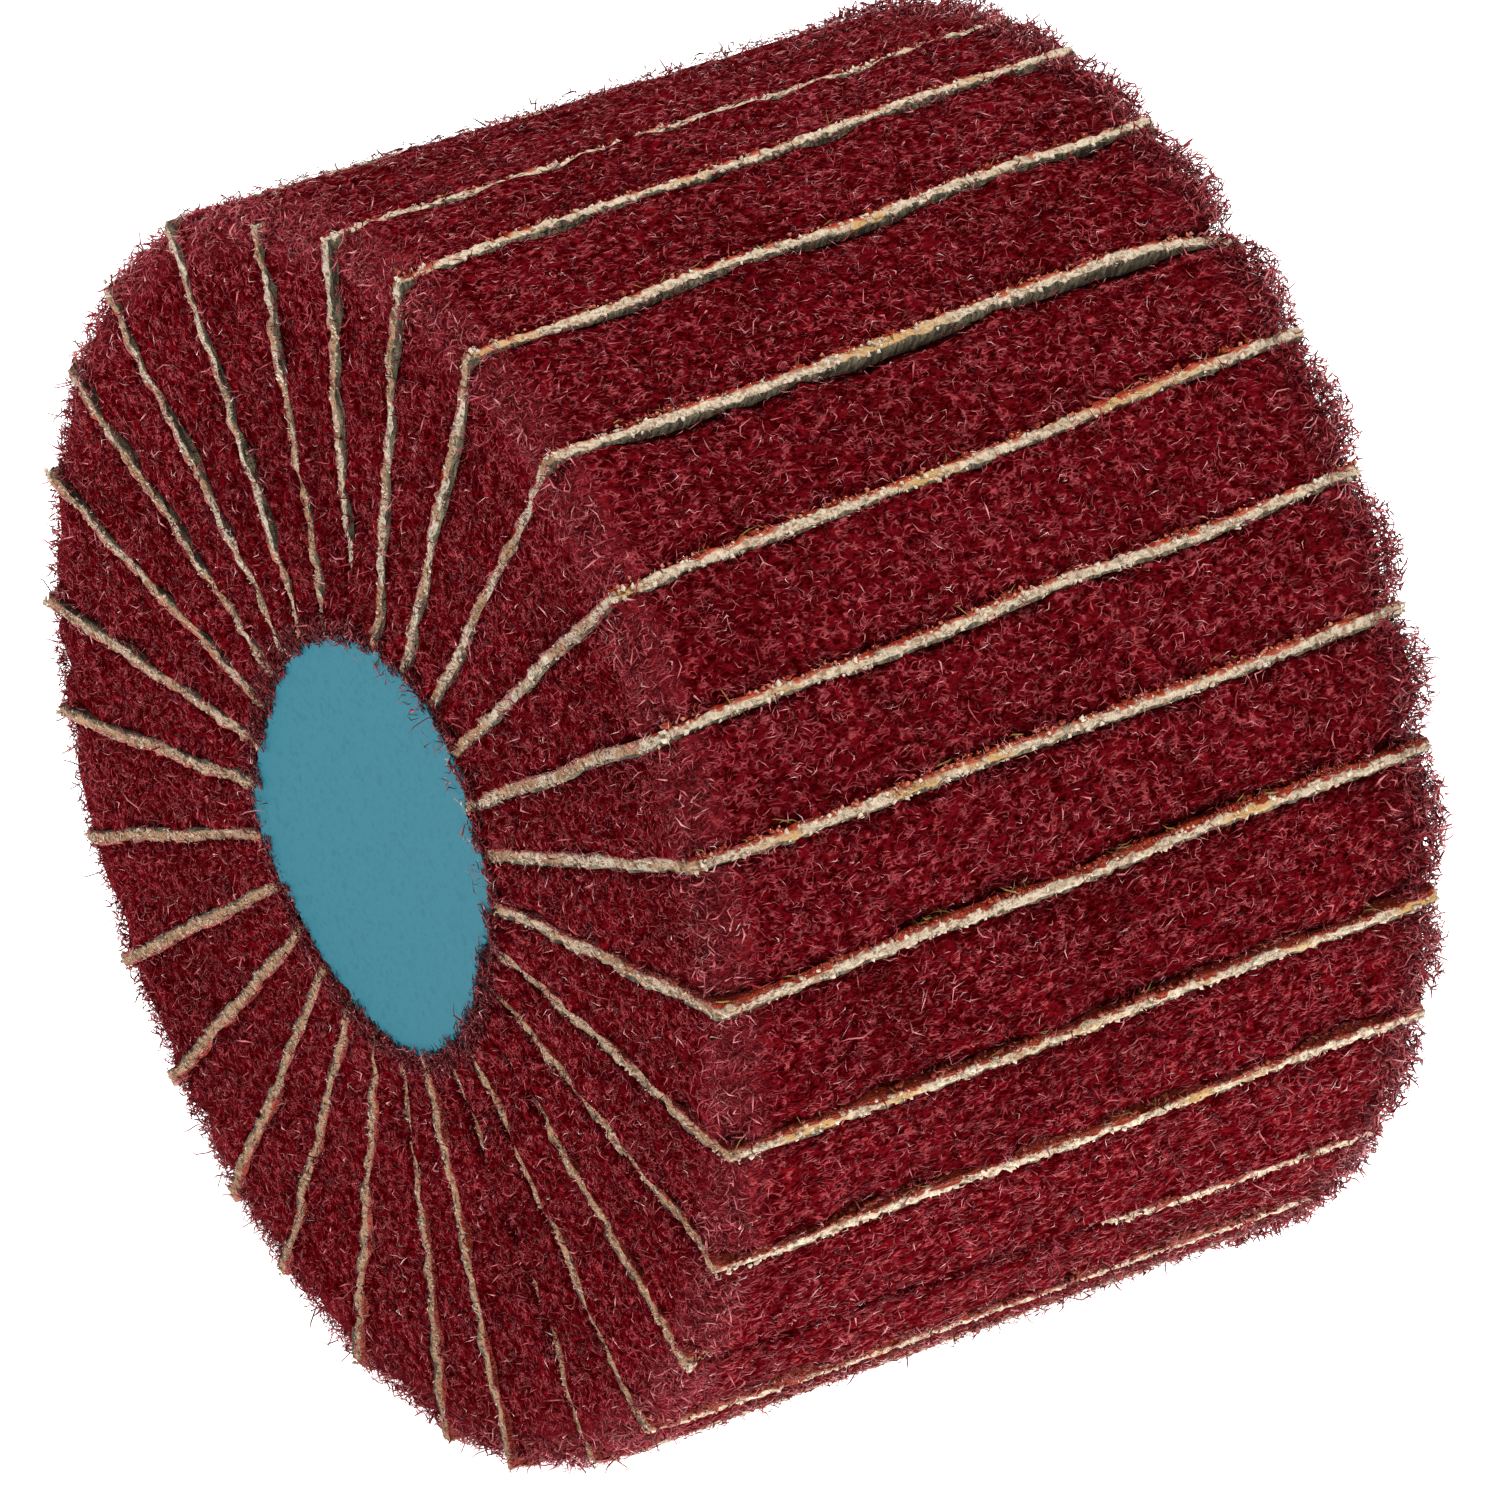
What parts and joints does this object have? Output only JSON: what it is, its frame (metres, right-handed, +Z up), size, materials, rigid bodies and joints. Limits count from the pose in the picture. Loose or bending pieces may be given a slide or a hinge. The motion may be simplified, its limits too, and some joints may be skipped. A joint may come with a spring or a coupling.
{
  "type": "flap wheel",
  "caption": "Spindle-mounted flap wheel with abrasive cloth flaps and fleece flaps in turn round a cast core, for satin finishing of metal.",
  "frame": {"origin": "on the spindle's axis, in the plane of the flaps' back edges, where the shank leaves the wheel", "axes": "+Y along the spindle from the wheel towards the shank's free end, +Z up, with the wheel lying on its flaps' edges; the front face with the disc looks towards -Y"},
  "size_m": [0.0796, 0.0723, 0.0796],
  "materials": {
    "fleece": "matt open web of maroon nylon fibres with grain bonded to them",
    "abrasive_cloth": "cotton cloth, bare and beige on its back and edges, red-brown grit on its face",
    "resin": "satin cast epoxy",
    "label_card": "matt teal card, bare",
    "spindle_steel": "ground steel"
  },
  "bodies": {
    "root": {"spindle": "spindle_steel", "resin_core": "resin", "label_disc": "label_card", "fleece_flap_01": "fleece", "cloth_flap_01": "abrasive_cloth", "fleece_flap_02": "fleece", "cloth_flap_02": "abrasive_cloth", "fleece_flap_03": "fleece", "cloth_flap_03": "abrasive_cloth", "fleece_flap_04": "fleece", "cloth_flap_04": "abrasive_cloth", "fleece_flap_05": "fleece", "cloth_flap_05": "abrasive_cloth", "fleece_flap_06": "fleece", "cloth_flap_06": "abrasive_cloth", "fleece_flap_07": "fleece", "cloth_flap_07": "abrasive_cloth", "fleece_flap_08": "fleece", "cloth_flap_08": "abrasive_cloth", "fleece_flap_09": "fleece", "cloth_flap_09": "abrasive_cloth", "fleece_flap_10": "fleece", "cloth_flap_10": "abrasive_cloth", "fleece_flap_11": "fleece", "cloth_flap_11": "abrasive_cloth", "fleece_flap_12": "fleece", "cloth_flap_12": "abrasive_cloth", "fleece_flap_13": "fleece", "cloth_flap_13": "abrasive_cloth", "fleece_flap_14": "fleece", "cloth_flap_14": "abrasive_cloth", "fleece_flap_15": "fleece", "cloth_flap_15": "abrasive_cloth", "fleece_flap_16": "fleece", "cloth_flap_16": "abrasive_cloth", "fleece_flap_17": "fleece", "cloth_flap_17": "abrasive_cloth", "fleece_flap_18": "fleece", "cloth_flap_18": "abrasive_cloth", "fleece_flap_19": "fleece", "cloth_flap_19": "abrasive_cloth", "fleece_flap_20": "fleece", "cloth_flap_20": "abrasive_cloth", "fleece_flap_21": "fleece", "cloth_flap_21": "abrasive_cloth", "fleece_flap_22": "fleece", "cloth_flap_22": "abrasive_cloth", "fleece_flap_23": "fleece", "cloth_flap_23": "abrasive_cloth", "fleece_flap_24": "fleece", "cloth_flap_24": "abrasive_cloth", "fleece_flap_25": "fleece", "cloth_flap_25": "abrasive_cloth", "fleece_flap_26": "fleece", "cloth_flap_26": "abrasive_cloth", "fleece_flap_27": "fleece", "cloth_flap_27": "abrasive_cloth", "fleece_flap_28": "fleece", "cloth_flap_28": "abrasive_cloth"}
  },
  "joints": []
}
